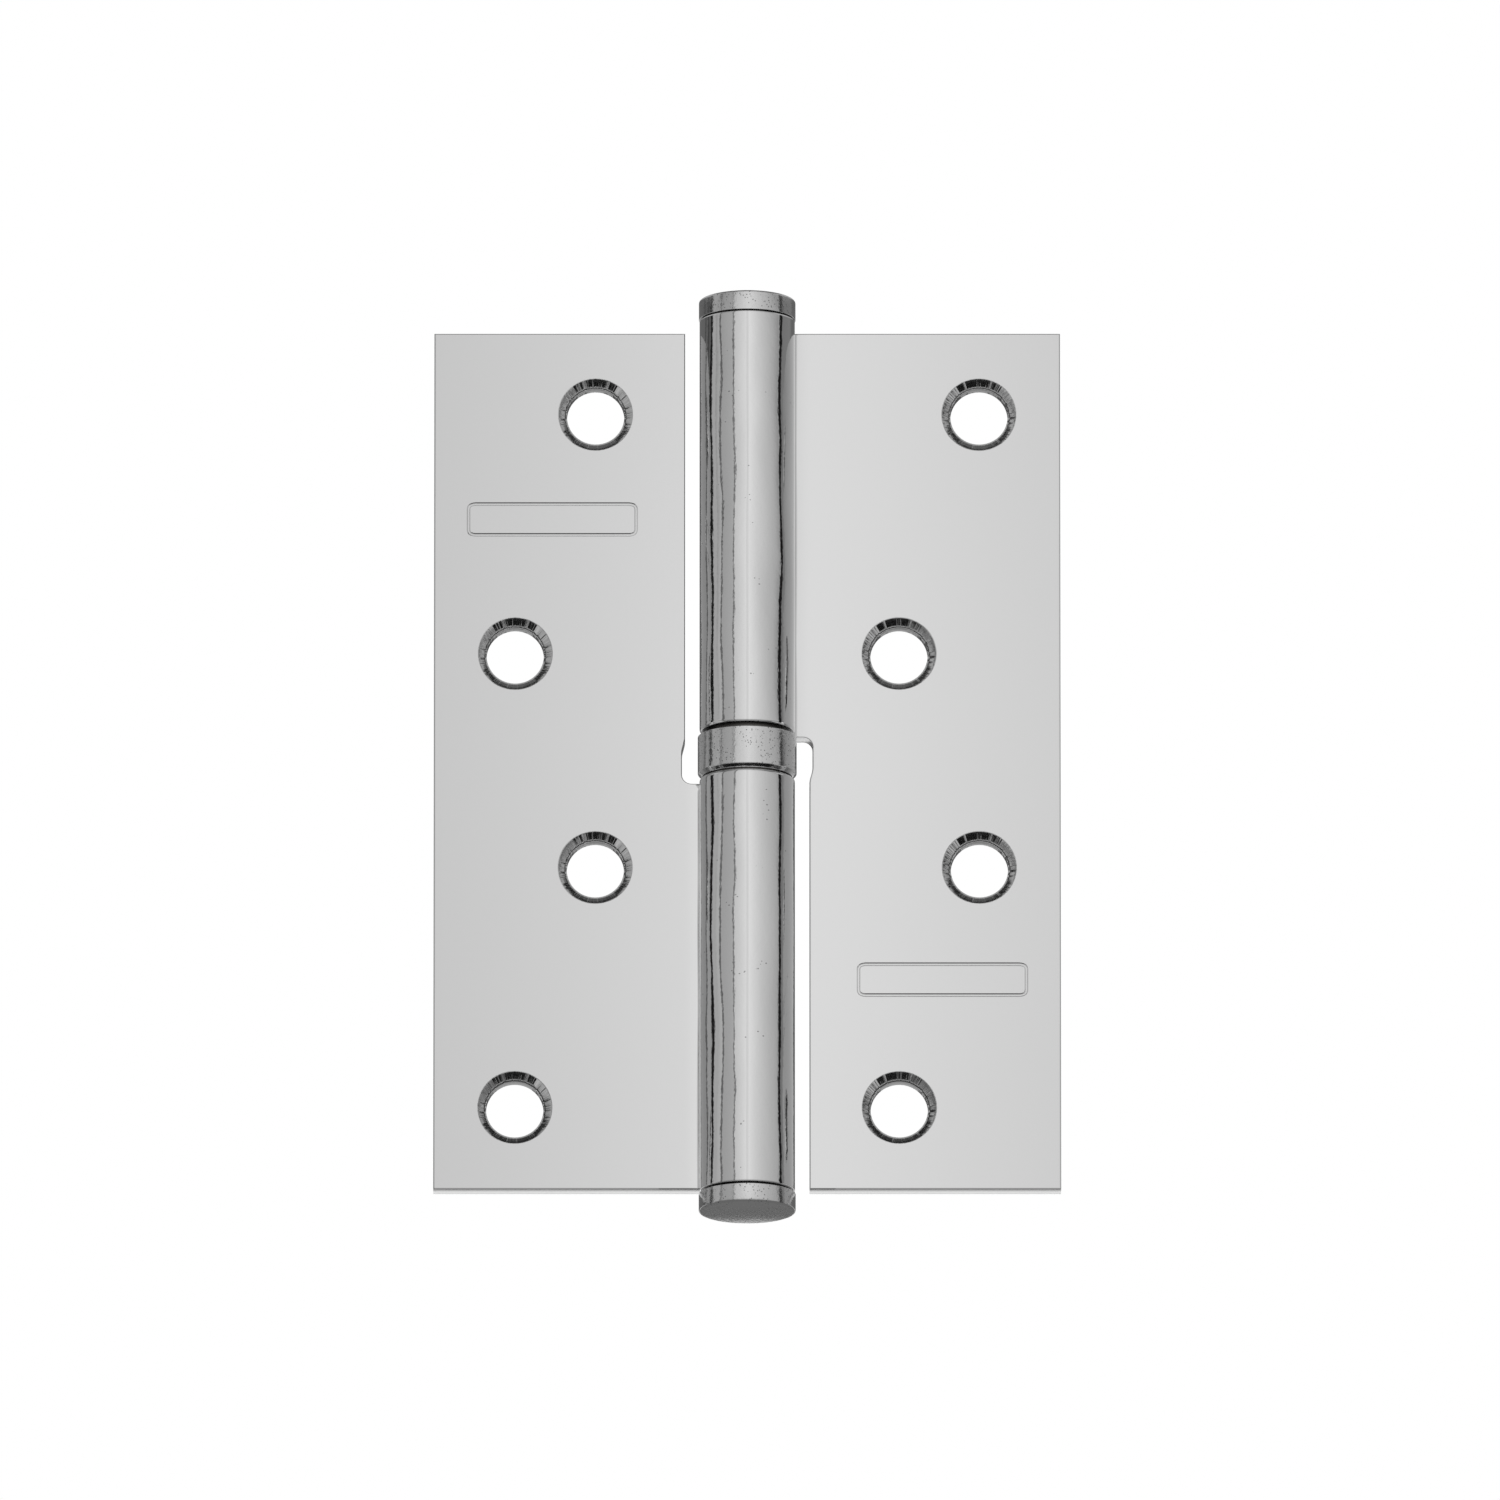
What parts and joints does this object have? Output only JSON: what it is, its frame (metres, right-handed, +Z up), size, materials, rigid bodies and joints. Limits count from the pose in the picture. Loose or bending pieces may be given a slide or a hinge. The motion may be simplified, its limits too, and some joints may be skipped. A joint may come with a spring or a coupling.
{
  "type": "lift-off mortise hinge",
  "caption": "Lift-off mortise hinge: chromed steel leaves with rolled knuckles and staggered countersunk screw holes turn on a fixed pin and a ball-bearing ring.",
  "frame": {"origin": "on the pin axis at mid height of the leaves", "axes": "+Z up along the pin, +X towards the door leaf's free edge, -Y the countersunk face"},
  "size_m": [0.071, 0.0112, 0.1064],
  "materials": {
    "polished_chrome": "polished",
    "satin_chrome": "satin",
    "bright_steel": "ground",
    "bearing_steel": "polished",
    "cage_brass": "stamped"
  },
  "bodies": {
    "frame_side": {"frame_leaf": "polished_chrome", "hinge_pin": "bright_steel", "lower_cap": "satin_chrome", "bearing_shell": "satin_chrome", "lower_race": "bearing_steel"},
    "bearing_top": {"upper_race": "bearing_steel"},
    "ball_set": {"ball_cage": "cage_brass", "ball_01": "bearing_steel", "ball_02": "bearing_steel", "ball_03": "bearing_steel", "ball_04": "bearing_steel", "ball_05": "bearing_steel", "ball_06": "bearing_steel", "ball_07": "bearing_steel", "ball_08": "bearing_steel"},
    "door_side": {"door_leaf": "polished_chrome", "upper_cap": "satin_chrome"}
  },
  "joints": [
    {"name": "leaf_swing", "type": "hinge", "parent": "frame_side", "child": "bearing_top", "pos_m": [0, 0, 0], "axis": [0, 0, 1], "range_deg": [-180, 90]},
    {"name": "lift_off", "type": "slide", "parent": "bearing_top", "child": "door_side", "axis": [0, 0, 1], "range_m": [0, 0.042]},
    {"name": "ball_set_turn", "type": "hinge", "parent": "frame_side", "child": "ball_set", "pos_m": [0, 0, 0], "axis": [0, 0, 1], "range_deg": [-90, 45]}
  ],
  "couplings": [
    {"joint": "ball_set_turn", "follows": "leaf_swing", "ratio": 0.5}
  ]
}
